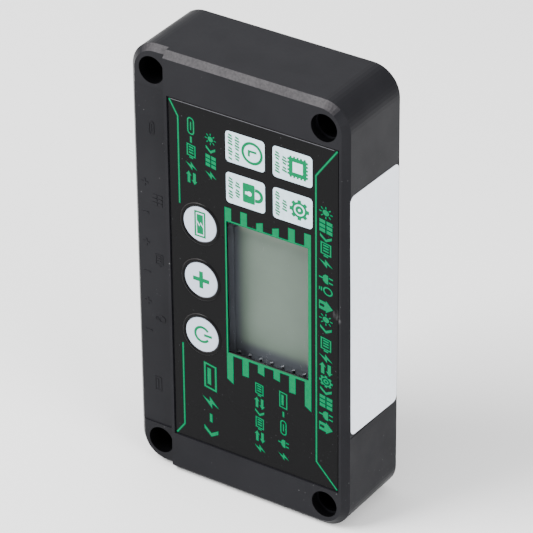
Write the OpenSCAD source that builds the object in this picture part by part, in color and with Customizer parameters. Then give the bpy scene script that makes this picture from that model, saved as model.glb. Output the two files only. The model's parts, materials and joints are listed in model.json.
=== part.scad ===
// Solar charge controller: a flat moulded housing with a display, three push buttons, a row of
// screw terminals and two charging ports. X runs across the front and Z along the length. Y runs
// from the front face to the wall. Depths are counted from the front face towards the wall.

/* [Housing] */
// Width across the front face
body_w = 70; // [69.5:0.5:73]
// Length from end to end
body_h = 133.5; // [132:0.5:140]
// Depth from front face to wall
body_d = 26.5; // [26:0.5:30]
// Radius of the four corners, seen from the front
corner_r = 8.3; // [7:0.1:9]
// Chamfer round the front face
front_chamfer = 1.8; // [1:0.1:2]
// Chamfer round the rear rim
rear_chamfer = 0.8; // [0.4:0.1:1]
// Thickness of the moulded walls
wall_t = 2.2; // [2:0.1:2.4]
// Thickness of the rear plate
plate_t = 2.4; // [2:0.1:3]
// Width of the lowered strip beside the terminals
ledge_w = 12.04; // [11.5:0.1:12.2]
// Depth of that strip below the front face
ledge_drop = 1.6; // [1.2:0.1:1.8]

/* [Corner holes] */
// Distance of the hole centres from the long edges
hole_inset_x = 7.2; // [7:0.1:7.4]
// Distance of the hole centres from the short edges
hole_inset_z = 7.5; // [7.3:0.1:8]
// Diameter of the recess that takes the screw head
head_recess_dia = 8.1; // [7.6:0.1:8.4]
// Diameter of the clearance hole at the wall end
screw_hole_dia = 4.5; // [4:0.1:5]
// Thickness of the floor under the screw head
head_floor_t = 3; // [2:0.5:5]

/* [Front panel] */
// Width of the printed sheet
sheet_w = 53.5; // [52.5:0.5:53.5]
// Gap between the sheet's ends and the ends of the housing
sheet_end_gap = 13.3; // [13:0.1:14]
// Gap between the sheet's edge and the right-hand edge of the housing
sheet_side_gap = 3; // [2.8:0.1:3.2]
// Thickness of the printed sheet
sheet_t = 0.3; // [0.2:0.05:0.4]
// Depth of the recess that holds the sheet
sheet_recess = 0.6; // [0.5:0.05:0.8]
// Width of the display window
window_w = 26.1; // [24:0.1:26.5]
// Length of the display window
window_h = 41.7; // [40:0.1:42]
// Centre of the window across the front
window_x = 9.55; // [9:0.05:10]

/* [Buttons] */
// Diameter of the white caps
button_dia = 10.6; // [10:0.1:11]
// Distance between neighbouring buttons
button_pitch = 17.6; // [17:0.1:18]
// Centre of the buttons across the front
button_x = -12.1; // [-12.2:0.1:-12]
// Outer diameter of the raised ring round each cap
ring_dia = 13; // [12.6:0.1:13.2]
// Height of that ring above the sheet
ring_rise = 0.28; // [0.2:0.02:0.3]
// How far a button travels
button_travel = 0.3; // [0.2:0.05:0.3]

/* [Terminals] */
// Distance between neighbouring poles
pole_pitch = 9.5; // [9.3:0.1:9.8]
// Diameter of the clamping screws' thread
clamp_screw_dia = 4; // [3.5:0.1:4]
// Free height for a wire when the clamp is open
wire_gap = 4.2; // [4:0.1:4.2]
// How far a clamp jaw travels
jaw_travel = 3; // [2:0.1:3]

/* [Ports] */
// Distance of the large port from the lower end
port_a_z = 26; // [24:0.5:27]
// Distance of the small port from the upper end
port_c_end = 25.5; // [24:0.5:28]

/* [Hidden] */
$fn = 64;
hull_fn = 48;

charcoal = [0.20, 0.205, 0.215];
gloss_black = [0.08, 0.08, 0.09];
cap_white = [0.93, 0.94, 0.95];
board_green = [0.05, 0.30, 0.16];
chip_black = [0.06, 0.06, 0.06];
steel = [0.72, 0.73, 0.75];
brass = [0.78, 0.65, 0.35];
terminal_green = [0.10, 0.42, 0.24];

// Main planes and centres
left_x = -body_w / 2;
right_x = body_w / 2;
front_y = -body_d / 2;
mid_z = body_h / 2;
gap = 0.05;
through = 1;

// Cavity, corner bosses, posts and the rear plate
side_wall_t = 2.5;
cavity_x = body_w / 2 - side_wall_t;
cavity_z = mid_z - side_wall_t;
plate_d = body_d - plate_t;
plate_gap = 0.15;
hole_x = body_w / 2 - hole_inset_x;
hole_z = mid_z - hole_inset_z;
boss_r = 6;
ledge_x = left_x + ledge_w;
plate_screw_x = 15;
plate_screw_z = mid_z - 6.9;
plate_head_r = 2.75;
head_sink = 0.8;
post_root = wall_t - 0.5;

// Shallow panel sunk into the lowered strip
strip_margin_left = 1.4;
strip_margin_right = 1.2;
strip_margin_end = 12.7;
strip_sink = 0.3;

// Blank label in its recess on the right-hand side
label_t = 0.1;
label_d0 = 2;
label_d1 = 25.5;
label_z0 = mid_z - 36.25;
label_z1 = mid_z + 39.85;

// Printed sheet and window
sheet_x1 = right_x - sheet_side_gap;
sheet_x0 = sheet_x1 - sheet_w;
sheet_z0 = sheet_end_gap;
sheet_z1 = body_h - sheet_end_gap;
sheet_front = sheet_recess - sheet_t;
window_z = mid_z + 0.1;
lens_lip = 0.7;
lens_lip_t = 0.8;

// Buttons and their switches
button_z = [mid_z - 0.35 + button_pitch, mid_z - 0.35, mid_z - 0.35 - button_pitch];
cap_flange_r = 6;
plunger_top = 3.85;
plunger_r = 1.7;
switch_size = 6;
switch_height = 3.8;
cap_gap = 0.1;
cap_stem_r = 2.4;

// Display stack
glass_d = 5.5;
glass_t = 2.4;
board_t = 1.6;
display_board_d = 10.8;
glass_x0 = window_x - 14.15;
glass_x1 = glass_x0 + 29.6;
glass_z0 = mid_z - 25.15;
glass_z1 = glass_z0 + 48;
display_x0 = -18.6;
display_x1 = 27;
display_z0 = mid_z - 31.25;
display_z1 = mid_z + 30.25;
display_post = [[-16, mid_z - 28.45], [24.5, mid_z - 28.45], [-16, mid_z + 26.75],
    [24.5, mid_z + 26.75]];
clip_pitch = 3.55;
clip_count = 8;
header_pitch = 2.54;
header_count = 8;
header_z = mid_z + 26.25;
pin_w = 0.6;
pin_hole_w = 0.8;

// Main board
main_board_d = 18.25;
main_x = cavity_x - 0.7;
main_z0 = 14.5;
main_z1 = body_h - 14.5;
main_post = [[24, 20], [24, body_h - 20], [-16, 17.7], [-16, body_h - 17.7]];

// Terminal block, in depths from the front face and distances from its outer face
pole_count = 6;
block_x0 = left_x + 0.6;
block_x1 = block_x0 + 14.5;
block_d0 = 4.05;
block_end_wall = 0.6;
block_z0 = mid_z - pole_count * pole_pitch / 2 - block_end_wall;
block_z1 = mid_z + pole_count * pole_pitch / 2 + block_end_wall;
clamp_screw_d = 7.55;
clamp_screw_r = clamp_screw_dia / 2;
clamp_head_r = 2.8;
channel_half = 3.3;
slider_half = 3.2;
bar_t = 0.6;
channel_d1 = main_board_d - 1.1;
bar_d = channel_d1 - bar_t;
jaw_bottom_d = bar_d - wire_gap;
jaw_top_d = clamp_screw_d + 2.2;
nut_x0 = block_x0 + 6.9;
nut_length = 5;
nut_wedge = 3.5;
nut_top_d = block_d0 + 1;
nut_edge_d = clamp_screw_d + 2.5;
pocket_x0 = block_x0 + 3.05;
pocket_x1 = block_x0 + 12.5;
slide_gap = 0.2;
bar_x0 = block_x0 + 0.8;
bar_x1 = pocket_x1 - 2.1;
tail_x = pocket_x1 - 3.1;
tail_w = 2.4;

// Ports
port_c_z = body_h - port_c_end;
port_face_x = left_x + 0.4;
port_a_w = 13.1;
port_a_t = 5.7;
port_a_length = 14;
port_c_w = 8.94;
port_c_t = 3.26;
port_c_length = 7.4;
port_gap = 0.4;
port_wall_t = 3.6;
sheet_metal = 0.3;

// Power parts behind the main board
transistor_d = main_board_d + board_t;
transistor_t = 2.3;
spreader_t = 1;
transistor_z = [mid_z - 34, mid_z - 12, mid_z + 12, mid_z + 34];
capacitor_place = [[0.5, body_h - 25], [12, body_h - 25]];
capacitor_r = 5;
capacitor_length = 13.5;

// Box between two places across, two depths and two heights
module block(x0, x1, d0, d1, z0, z1) {
    translate([x0, front_y + d0, z0]) cube([x1 - x0, d1 - d0, z1 - z0]);
}

// Round bar along the depth
module rod(x, z, d0, d1, r) {
    translate([x, front_y + d0, z]) rotate([-90, 0, 0]) cylinder(h = d1 - d0, r = r);
}

// Round bar across the width
module crossbar(x0, x1, d, z, r) {
    translate([x0, front_y + d, z]) rotate([0, 90, 0]) cylinder(h = x1 - x0, r = r);
}

// Solid body with rounded corners and chamfered rims
module chamfered_body(front_d, chamfer) {
    hull() {
        for (x = [left_x + corner_r, right_x - corner_r], z = [corner_r, body_h - corner_r]) {
            rod(x, z, front_d, body_d - 1, corner_r - chamfer, $fn = hull_fn);
            rod(x, z, front_d + chamfer, body_d - rear_chamfer, corner_r, $fn = hull_fn);
            rod(x, z, body_d - 2, body_d, corner_r - rear_chamfer, $fn = hull_fn);
        }
    }
}

// Everything that repeats at the four corner holes
module at_corners() {
    for (sx = [-1, 1], sz = [-1, 1]) {
        translate([sx * hole_x, 0, mid_z + sz * hole_z]) scale_signs(sx, sz) children();
    }
}

// Turns a corner feature so that its +X and +Z point away from the middle
module scale_signs(sx, sz) {
    mirror([sx < 0 ? 1 : 0, 0, 0]) mirror([0, 0, sz < 0 ? 1 : 0]) children();
}

// Material round a corner hole, filled out towards the corner
module corner_pad(d0, d1, grow) {
    r = boss_r + grow;
    reach = hole_inset_x - 1.6;
    rod(0, 0, d0, d1, r);
    block(-r, reach, d0, d1, 0, reach);
    block(0, reach, d0, d1, -r, reach);
}

// Front and side walls in one moulding, open towards the wall
module front_shell() {
    color(charcoal) difference() {
        union() {
            difference() {
                union() {
                    chamfered_body(ledge_drop, front_chamfer - 0.15);
                    intersection() {
                        chamfered_body(0, front_chamfer);
                        block(ledge_x, right_x + through, -through, body_d + through,
                            -through, body_h + through);
                    }
                }
                shell_cavity();
            }
            intersection() {
                chamfered_body(0, front_chamfer);
                at_corners() corner_pad(post_root + ledge_drop, body_d, 0);
            }
            for (x = [-plate_screw_x, plate_screw_x], s = [-1, 1]) {
                rod(x, mid_z + s * plate_screw_z, post_root, plate_d, 3.2);
            }
            for (p = main_post) rod(p[0], p[1], post_root, main_board_d, 3);
            for (p = display_post) rod(p[0], p[1], post_root, display_board_d, 2.5);
        }
        shell_screw_holes();
        shell_front_openings();
        shell_side_openings();
    }
}

// Space for the boards, shallower behind the lowered strip
module shell_cavity() {
    block(-cavity_x, cavity_x, wall_t + ledge_drop, body_d + through,
        mid_z - cavity_z, mid_z + cavity_z);
    block(ledge_x + wall_t, cavity_x, wall_t, body_d, mid_z - cavity_z, mid_z + cavity_z);
}

// Corner holes and the pilot holes in the posts
module shell_screw_holes() {
    at_corners() {
        rod(0, 0, -through, body_d - head_floor_t, head_recess_dia / 2);
        rod(0, 0, 0, body_d + through, screw_hole_dia / 2);
    }
    for (x = [-plate_screw_x, plate_screw_x], s = [-1, 1]) {
        rod(x, mid_z + s * plate_screw_z, plate_d - 10, plate_d + through, 1.25);
    }
    for (p = main_post) rod(p[0], p[1], main_board_d - 8, main_board_d + through, 1.05);
    for (p = display_post) rod(p[0], p[1], display_board_d - 6, display_board_d + 1, 0.85);
}

// Recess for the sheet, openings for the window and the buttons, and the sunk strip
module shell_front_openings() {
    half_w = window_w / 2 + lens_lip + 0.1;
    half_h = window_h / 2 + lens_lip + 0.1;
    block(sheet_x0 - 0.5, sheet_x1 + 0.4, -through, sheet_recess, sheet_z0 - 0.5, sheet_z1 + 0.5);
    block(window_x - half_w, window_x + half_w, 0, wall_t + through,
        window_z - half_h, window_z + half_h);
    for (z = button_z) rod(button_x, z, 0, wall_t + through, cap_flange_r + 0.3);
    block(left_x + strip_margin_left, ledge_x - strip_margin_right, 0, ledge_drop + strip_sink,
        strip_margin_end, body_h - strip_margin_end);
}

// Openings for the terminals and both ports on the left, and the label recess on the right
module shell_side_openings() {
    inside_x = -cavity_x + through;
    block(left_x - through, inside_x, block_d0 - slide_gap, main_board_d + slide_gap,
        block_z0 - 0.25, block_z1 + 0.25);
    block(left_x - through, inside_x, main_board_d - port_a_t - port_gap,
        main_board_d + slide_gap, port_a_z - port_a_w / 2 - port_gap,
        port_a_z + port_a_w / 2 + port_gap);
    translate([left_x - through, front_y + main_board_d - port_c_t / 2, port_c_z])
        port_c_outline(port_c_w + 0.6, port_c_t + 0.6, through + port_wall_t);
    block(right_x - label_t, right_x + through, label_d0 - 0.1, label_d1 + 0.1,
        label_z0 - 0.1, label_z1 + 0.1);
}

// Flat lid that closes the housing towards the wall
module rear_plate() {
    half_w = cavity_x - plate_gap;
    half_h = cavity_z - plate_gap;
    color(charcoal) difference() {
        block(-half_w, half_w, plate_d, body_d, mid_z - half_h, mid_z + half_h);
        at_corners() corner_pad(plate_d - through, body_d + through, plate_gap);
        for (x = [-plate_screw_x, plate_screw_x], s = [-1, 1]) {
            z = mid_z + s * plate_screw_z;
            rod(x, z, plate_d - through, body_d + through, 1.7);
            rod(x, z, plate_d + head_sink, body_d + through, plate_head_r + plate_gap);
        }
    }
}

// Cross-head screw whose head faces the wall
module cross_screw(x, z, head_d, head_r, head_t, shank_r, length) {
    difference() {
        union() {
            rod(x, z, head_d, head_d + head_t, head_r);
            rod(x, z, head_d - length, head_d, shank_r);
        }
        for (turn = [0, 90]) {
            translate([x, front_y + head_d + head_t, z]) rotate([0, turn, 0])
                cube([head_r * 1.2, head_t, head_r * 0.26], center = true);
        }
    }
}

module rear_plate_screws() {
    color(steel) for (x = [-plate_screw_x, plate_screw_x], s = [-1, 1]) {
        cross_screw(x, mid_z + s * plate_screw_z, plate_d + head_sink, plate_head_r, 1.4, 1.2, 10);
    }
}

// Raised ring of round profile, pressed into the sheet round a button
module embossed_ring(x, z) {
    inner_r = button_dia / 2 + cap_gap;
    half = (ring_dia / 2 - inner_r) / 2;
    profile_r = (half * half + ring_rise * ring_rise) / (2 * ring_rise);
    translate([x, front_y + sheet_front, z]) rotate([90, 0, 0]) rotate_extrude()
        intersection() {
            translate([inner_r + half, ring_rise - profile_r]) circle(r = profile_r);
            translate([inner_r, -sheet_t / 2]) square([2 * half, ring_rise + sheet_t]);
        }
}

// Printed sheet with the raised rings, cut out for the buttons and the window
module graphic_overlay() {
    color(gloss_black) difference() {
        union() {
            block(sheet_x0, sheet_x1, sheet_front, sheet_recess, sheet_z0, sheet_z1);
            for (z = button_z) embossed_ring(button_x, z);
        }
        for (z = button_z) rod(button_x, z, -through, sheet_recess + through, button_dia / 2 + cap_gap);
        block(window_x - window_w / 2, window_x + window_w / 2, 0, sheet_recess + through,
            window_z - window_h / 2, window_z + window_h / 2);
    }
}

// Clear window with a thin lip behind the sheet
module window_lens() {
    color([0.75, 0.8, 0.8, 0.4]) {
        block(window_x - window_w / 2 + gap, window_x + window_w / 2 - gap, sheet_front,
            sheet_recess + 0.4, window_z - window_h / 2 + gap, window_z + window_h / 2 - gap);
        block(window_x - window_w / 2 - lens_lip, window_x + window_w / 2 + lens_lip,
            sheet_recess, sheet_recess + lens_lip_t, window_z - window_h / 2 - lens_lip,
            window_z + window_h / 2 + lens_lip);
    }
}

module side_label() {
    color(cap_white)
        block(right_x - label_t, right_x, label_d0, label_d1, label_z0, label_z1);
}

// Push-button cap with a retaining flange and a stem
module button_cap(index) {
    z = button_z[index];
    color(cap_white) {
        rod(button_x, z, sheet_front, sheet_recess + 0.3, button_dia / 2);
        rod(button_x, z, sheet_recess + cap_gap, sheet_recess + 0.8, cap_flange_r);
        rod(button_x, z, sheet_recess + 0.8, plunger_top - gap, cap_stem_r);
    }
}

// Round plunger between a cap and its switch
module switch_plunger(index) {
    color(chip_black) rod(button_x, button_z[index], plunger_top,
        display_board_d - switch_height + 1, plunger_r);
}

// Three square push switches on the display board
module switch_bodies() {
    half = switch_size / 2;
    color(steel) for (z = button_z) {
        difference() {
            block(button_x - half, button_x + half, display_board_d - switch_height,
                display_board_d, z - half, z + half);
            rod(button_x, z, 0, display_board_d - 1, plunger_r + gap);
        }
    }
}

// Board behind the front, with the display and the switches
module display_board() {
    color(board_green) difference() {
        block(display_x0, display_x1, display_board_d, display_board_d + board_t,
            display_z0, display_z1);
        for (p = display_post) rod(p[0], p[1], 0, body_d, 1.1);
        header_pin_row(pin_hole_w, 0, body_d);
    }
}

module display_board_screws() {
    color(steel) for (p = display_post) {
        cross_screw(p[0], p[1], display_board_d + board_t, 1.9, 1.2, 0.8, 6);
    }
}

// Liquid-crystal cell
module lcd_glass() {
    color([0.55, 0.60, 0.57])
        block(glass_x0, glass_x1, glass_d, glass_d + glass_t, glass_z0, glass_z1);
}

// Moulded frame that clips the glass and its light to the board
module lcd_frame() {
    rim = 0.8;
    color(chip_black) difference() {
        block(glass_x0 - rim, glass_x1 + rim, glass_d + 0.6, display_board_d,
            glass_z0 - 0.2, glass_z1 + rim);
        block(glass_x0 - gap, glass_x1 + gap, 0, body_d, glass_z0 - through, glass_z1 + gap);
    }
}

// Light guide behind the glass
module lcd_backlight() {
    color(cap_white) block(glass_x0, glass_x1, glass_d + glass_t, display_board_d,
        glass_z0, glass_z1);
}

// Spring clips that grip the lower edge of the glass and run down to the board
module lcd_pins() {
    half = 0.35;
    clip_t = 0.2;
    clip_top_z = glass_z0 + 2.4;
    color(steel) for (i = [0:clip_count - 1]) {
        x = glass_x0 + 1.3 + i * clip_pitch;
        block(x - half, x + half, glass_d - clip_t, glass_d, glass_z0 - 0.4, clip_top_z);
        block(x - half, x + half, glass_d - clip_t, display_board_d, glass_z0 - 0.6,
            glass_z0 - 0.4);
    }
}

// Microcontroller under the display board, with its legs
module controller_chip() {
    half = 3.5;
    z = mid_z + 8;
    color(chip_black) {
        block(window_x - half, window_x + half, display_board_d + board_t + 0.1,
            display_board_d + board_t + 1.5, z - half, z + half);
        for (i = [-3:3], turn = [0, 90]) {
            translate([window_x, front_y + display_board_d + board_t + 0.1, z])
                rotate([0, turn, 0]) translate([i * 0.8, 0, 0])
                    cube([0.3, 0.2, 9], center = true);
        }
    }
}

// Square holes or pins of the link between the two boards
module header_pin_row(width, d0, d1) {
    for (i = [0:header_count - 1]) {
        x = window_x + (i - (header_count - 1) / 2) * header_pitch;
        block(x - width / 2, x + width / 2, d0, d1, header_z - width / 2, header_z + width / 2);
    }
}

module header_strips() {
    half = header_count * header_pitch / 2;
    color(chip_black) difference() {
        block(window_x - half, window_x + half, display_board_d + board_t, main_board_d,
            header_z - 1.25, header_z + 1.25);
        header_pin_row(pin_w + 2 * gap, 0, body_d);
    }
}

module header_pins() {
    reach = 1.2;
    color(brass) header_pin_row(pin_w, display_board_d - reach, main_board_d + board_t + reach);
}

// Solder tails of the terminal bars
module bar_tails(grow) {
    half = tail_w / 2 + grow;
    for (i = [0:pole_count - 1]) {
        z = pole_z(i);
        block(tail_x - grow, tail_x + 1 + grow, bar_d + bar_t - grow, main_board_d + board_t + 1,
            z - half, z + half);
    }
}

// Board that carries the terminals, ports and power parts
module main_board() {
    color(board_green) difference() {
        block(-main_x, main_x, main_board_d, main_board_d + board_t, main_z0, main_z1);
        for (p = main_post) rod(p[0], p[1], 0, body_d, 1.4);
        header_pin_row(pin_hole_w, 0, body_d);
        bar_tails(gap);
    }
}

module main_board_screws() {
    color(steel) for (p = main_post) {
        cross_screw(p[0], p[1], main_board_d + board_t, 2.3, 1.5, 1, 8);
    }
}

// Height of a terminal pole's middle, counted from the top
function pole_z(index) = mid_z + ((pole_count - 1) / 2 - index) * pole_pitch;

// Moulded block with a screw tunnel, a nut pocket and a wire entry for each pole
module terminal_block() {
    color(terminal_green) difference() {
        block(block_x0, block_x1, block_d0, main_board_d, block_z0, block_z1);
        for (i = [0:pole_count - 1]) {
            z = pole_z(i);
            crossbar(block_x0 - through, block_x0 + 2.05, clamp_screw_d, z,
                clamp_head_r + slide_gap);
            crossbar(block_x0, block_x0 + 13.6, clamp_screw_d, z, clamp_screw_r + 0.06);
            block(pocket_x0, pocket_x1, nut_top_d - slide_gap, nut_edge_d + nut_wedge + slide_gap,
                z - channel_half, z + channel_half);
            block(block_x0 - through, pocket_x1 - 3, jaw_bottom_d - slide_gap, channel_d1,
                z - channel_half, z + channel_half);
            block(block_x0, pocket_x1 - 2, bar_d - gap, channel_d1, z - channel_half,
                z + channel_half);
        }
        bar_tails(gap);
    }
}

// Contact bars under the wires, with their solder tails
module terminal_bars() {
    half = 3.1;
    color(brass) {
        for (i = [0:pole_count - 1]) {
            z = pole_z(i);
            block(bar_x0, bar_x1, bar_d, bar_d + bar_t, z - half, z + half);
        }
        bar_tails(0);
    }
}

// Captive clamping screw: slotted head, collar and plain-drawn thread
module terminal_screw(index) {
    z = pole_z(index);
    slot_depth = 1.4;
    color(steel) difference() {
        union() {
            crossbar(block_x0 + 0.4, block_x0 + 2, clamp_screw_d, z, clamp_head_r);
            crossbar(block_x0 + 2, block_x0 + 13.5, clamp_screw_d, z, clamp_screw_r);
            crossbar(block_x0 + 3.1, block_x0 + 3.7, clamp_screw_d, z, clamp_screw_r + 0.6);
        }
        translate([block_x0 + 0.6, front_y + clamp_screw_d, z])
            cube([slot_depth, 0.8, 2.2 * clamp_head_r], center = true);
        translate([block_x0 + 0.6, front_y + clamp_screw_d, z])
            cube([slot_depth, 3.4, 0.8], center = true);
    }
}

// Wedge nut that the screw draws towards the front of the block
module clamp_nut(index) {
    z = pole_z(index);
    color(brass) difference() {
        translate([0, 0, z - slider_half]) linear_extrude(2 * slider_half) polygon([
            [nut_x0, front_y + nut_top_d],
            [nut_x0 + nut_length, front_y + nut_top_d],
            [nut_x0 + nut_length, front_y + nut_edge_d + nut_wedge],
            [nut_x0 + nut_wedge, front_y + nut_edge_d + nut_wedge],
            [nut_x0, front_y + nut_edge_d]
        ]);
        crossbar(nut_x0 - through, nut_x0 + nut_length + through, clamp_screw_d, z,
            clamp_screw_r + gap);
    }
}

// Jaw that the wedge nut presses down on the wire
module clamp_jaw(index) {
    z = pole_z(index);
    slope_x = nut_x0 + jaw_top_d - nut_edge_d - 0.1;
    foot_x = slope_x - 2.7;
    jaw_t = jaw_bottom_d - jaw_top_d;
    color(steel) translate([0, 0, z - slider_half]) linear_extrude(2 * slider_half) polygon([
        [foot_x, front_y + jaw_top_d],
        [slope_x, front_y + jaw_top_d],
        [slope_x + jaw_t, front_y + jaw_bottom_d],
        [foot_x, front_y + jaw_bottom_d]
    ]);
}

// Folded metal socket of the large port, open at its mouth
module usb_a_shell() {
    half = port_a_w / 2;
    color(steel) difference() {
        block(port_face_x, port_face_x + port_a_length, main_board_d - port_a_t, main_board_d,
            port_a_z - half, port_a_z + half);
        block(port_face_x - through, port_face_x + port_a_length - sheet_metal,
            main_board_d - port_a_t + sheet_metal, main_board_d - sheet_metal,
            port_a_z - half + sheet_metal, port_a_z + half - sheet_metal);
    }
}

// Tongue of the large port with its root block
module usb_a_tongue() {
    back_x = port_face_x + port_a_length - sheet_metal;
    color([0.9, 0.45, 0.1]) {
        block(port_face_x + 1.2, back_x, main_board_d - 2.5, main_board_d - 0.7,
            port_a_z - 5.55, port_a_z + 5.55);
        block(back_x - 4, back_x, main_board_d - port_a_t + sheet_metal,
            main_board_d - sheet_metal, port_a_z - 6.2, port_a_z + 6.2);
    }
}

// Four contact strips on the tongue
module usb_a_contacts() {
    back_x = port_face_x + port_a_length - sheet_metal;
    color(brass) for (i = [-1.5:1:1.5]) {
        z = port_a_z + i * 2.3;
        block(port_face_x + 1.8, back_x - 4, main_board_d - 2.7, main_board_d - 2.5,
            z - 0.5, z + 0.5);
    }
}

// Bar with round edges, the outline of the small port
module port_c_outline(width, thickness, length) {
    rotate([0, 90, 0]) linear_extrude(length) {
        square([width - thickness, thickness], center = true);
        for (s = [-1, 1]) translate([s * (width - thickness) / 2, 0]) circle(d = thickness);
    }
}

// Metal sleeve of the small port
module usb_c_shell() {
    color(steel) translate([port_face_x, front_y + main_board_d - port_c_t / 2, port_c_z])
        difference() {
            port_c_outline(port_c_w, port_c_t, port_c_length);
            translate([-sheet_metal, 0, 0]) port_c_outline(port_c_w - 2 * sheet_metal,
                port_c_t - 2 * sheet_metal, port_c_length);
        }
}

// Tongue of the small port with its root block
module usb_c_tongue() {
    d = main_board_d - port_c_t / 2;
    back_x = port_face_x + port_c_length - sheet_metal;
    color(chip_black) {
        block(port_face_x + 1.2, back_x, d - 0.35, d + 0.35, port_c_z - 3.3, port_c_z + 3.3);
        block(back_x - 1.6, back_x, d - 1.3, d + 1.3, port_c_z - 2.6, port_c_z + 2.6);
    }
}

// Two step-down converters behind the ports
module port_supply_chips() {
    color(chip_black) for (z = [port_a_z + 1, port_c_z + 1]) {
        block(-12, -8, main_board_d - 1.5, main_board_d - 0.1, z - 2.5, z + 2.5);
        for (i = [-1.5:1:1.5]) {
            block(-13.2, -6.8, main_board_d - 0.3, main_board_d, z + i * 1.27 - 0.2,
                z + i * 1.27 + 0.2);
        }
    }
}

// Round wound choke on a square foot
module power_inductor() {
    color([0.25, 0.25, 0.26]) {
        block(1, 14, main_board_d - 2, main_board_d, 19.5, 32.5);
        rod(7.5, 26, main_board_d - 7, main_board_d - 1, 6);
    }
}

// Two upright smoothing capacitors
module bulk_capacitors() {
    color([0.10, 0.12, 0.22]) for (p = capacitor_place) {
        rod(p[0], p[1], main_board_d - capacitor_length, main_board_d, capacitor_r);
    }
}

// Four switching transistors on the rear side of the main board
module power_transistors() {
    color(chip_black) for (z = transistor_z) {
        block(-16, -6, transistor_d, transistor_d + transistor_t, z - 3.3, z + 3.3);
        for (s = [-1, 1]) {
            block(-19, -16, transistor_d, transistor_d + 0.5, z + s * 2.3 - 0.4, z + s * 2.3 + 0.4);
        }
    }
}

// Soft pad that carries heat from the transistors to the spreader
module thermal_pad() {
    color([0.55, 0.6, 0.75]) block(-17, -5, transistor_d + transistor_t, plate_d - spreader_t,
        mid_z - 38, mid_z + 38);
}

// Flat metal sheet inside the rear plate
module heat_spreader() {
    color(steel) block(-22, 22, plate_d - spreader_t, plate_d, mid_z - 45, mid_z + 45);
}

// Bent metal strip that measures the battery current
module current_shunt() {
    x0 = -15.5;
    z = mid_z - 2.5;
    color([0.5, 0.42, 0.36]) difference() {
        block(x0, x0 + 10, main_board_d - 3, main_board_d, z - 2, z + 2);
        block(x0 + 1, x0 + 9, main_board_d - 2.2, main_board_d + through, z - 3, z + 3);
    }
}

front_shell();
rear_plate();
rear_plate_screws();
graphic_overlay();
window_lens();
side_label();
button_cap(0);  // button_menu
button_cap(1);  // button_plus
button_cap(2);  // button_power
switch_plunger(0);  // plunger_menu
switch_plunger(1);  // plunger_plus
switch_plunger(2);  // plunger_power
switch_bodies();
display_board();
display_board_screws();
lcd_glass();
lcd_frame();
lcd_backlight();
lcd_pins();
controller_chip();
header_strips();
header_pins();
main_board();
main_board_screws();
terminal_block();
terminal_bars();
usb_a_shell();
usb_a_tongue();
usb_a_contacts();
usb_c_shell();
usb_c_tongue();
port_supply_chips();
power_inductor();
bulk_capacitors();
power_transistors();
thermal_pad();
heat_spreader();
current_shunt();
terminal_screw(0);  // terminal_screw_1
terminal_screw(1);  // terminal_screw_2
terminal_screw(2);  // terminal_screw_3
terminal_screw(3);  // terminal_screw_4
terminal_screw(4);  // terminal_screw_5
terminal_screw(5);  // terminal_screw_6
clamp_nut(0);  // clamp_nut_1
clamp_nut(1);  // clamp_nut_2
clamp_nut(2);  // clamp_nut_3
clamp_nut(3);  // clamp_nut_4
clamp_nut(4);  // clamp_nut_5
clamp_nut(5);  // clamp_nut_6
clamp_jaw(0);  // clamp_jaw_1
clamp_jaw(1);  // clamp_jaw_2
clamp_jaw(2);  // clamp_jaw_3
clamp_jaw(3);  // clamp_jaw_4
clamp_jaw(4);  // clamp_jaw_5
clamp_jaw(5);  // clamp_jaw_6
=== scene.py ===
"""Looks for the solar charge controller: materials, printed panel, label, light and camera."""
import json
import math

import bmesh
import bpy
from mathutils import Matrix, Vector


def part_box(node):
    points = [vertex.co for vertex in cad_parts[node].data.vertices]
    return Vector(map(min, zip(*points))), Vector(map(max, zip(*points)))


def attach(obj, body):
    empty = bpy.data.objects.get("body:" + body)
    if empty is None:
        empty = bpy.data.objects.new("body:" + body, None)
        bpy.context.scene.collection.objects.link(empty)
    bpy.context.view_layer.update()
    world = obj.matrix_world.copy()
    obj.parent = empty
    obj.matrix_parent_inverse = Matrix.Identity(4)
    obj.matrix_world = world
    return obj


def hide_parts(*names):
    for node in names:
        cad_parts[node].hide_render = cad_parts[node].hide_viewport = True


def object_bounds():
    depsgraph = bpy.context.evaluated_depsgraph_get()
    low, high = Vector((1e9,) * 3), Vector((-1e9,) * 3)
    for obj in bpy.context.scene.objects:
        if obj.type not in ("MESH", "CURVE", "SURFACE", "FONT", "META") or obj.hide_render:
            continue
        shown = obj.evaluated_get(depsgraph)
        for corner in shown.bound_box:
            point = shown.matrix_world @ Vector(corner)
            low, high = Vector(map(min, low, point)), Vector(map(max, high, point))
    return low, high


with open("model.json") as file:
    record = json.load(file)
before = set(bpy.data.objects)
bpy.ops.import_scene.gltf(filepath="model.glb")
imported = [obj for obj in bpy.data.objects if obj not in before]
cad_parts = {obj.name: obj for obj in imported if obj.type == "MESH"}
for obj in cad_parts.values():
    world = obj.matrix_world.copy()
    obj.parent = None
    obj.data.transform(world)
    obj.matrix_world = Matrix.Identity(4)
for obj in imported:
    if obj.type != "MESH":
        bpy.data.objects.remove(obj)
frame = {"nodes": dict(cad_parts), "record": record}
CAD_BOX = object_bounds()

MM = 0.001
LOW, HIGH = CAD_BOX
MID_Z = (LOW.z + HIGH.z) / 2
SHEET_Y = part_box("window_lens")[0].y     # outer face of the panel sheet
LEDGE_Y = LOW.y + 1.6 * MM               # face of the lowered strip beside the terminals
PRINT_T = 0.03 * MM                      # thickness of a printed layer

# Corner holes: axis from the sides and from the ends, and how far round it the painted shade
# reaches
HOLE_INSET_X, HOLE_INSET_Z, HOLE_REACH = 7.2 * MM, 7.5 * MM, 4.4 * MM

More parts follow.
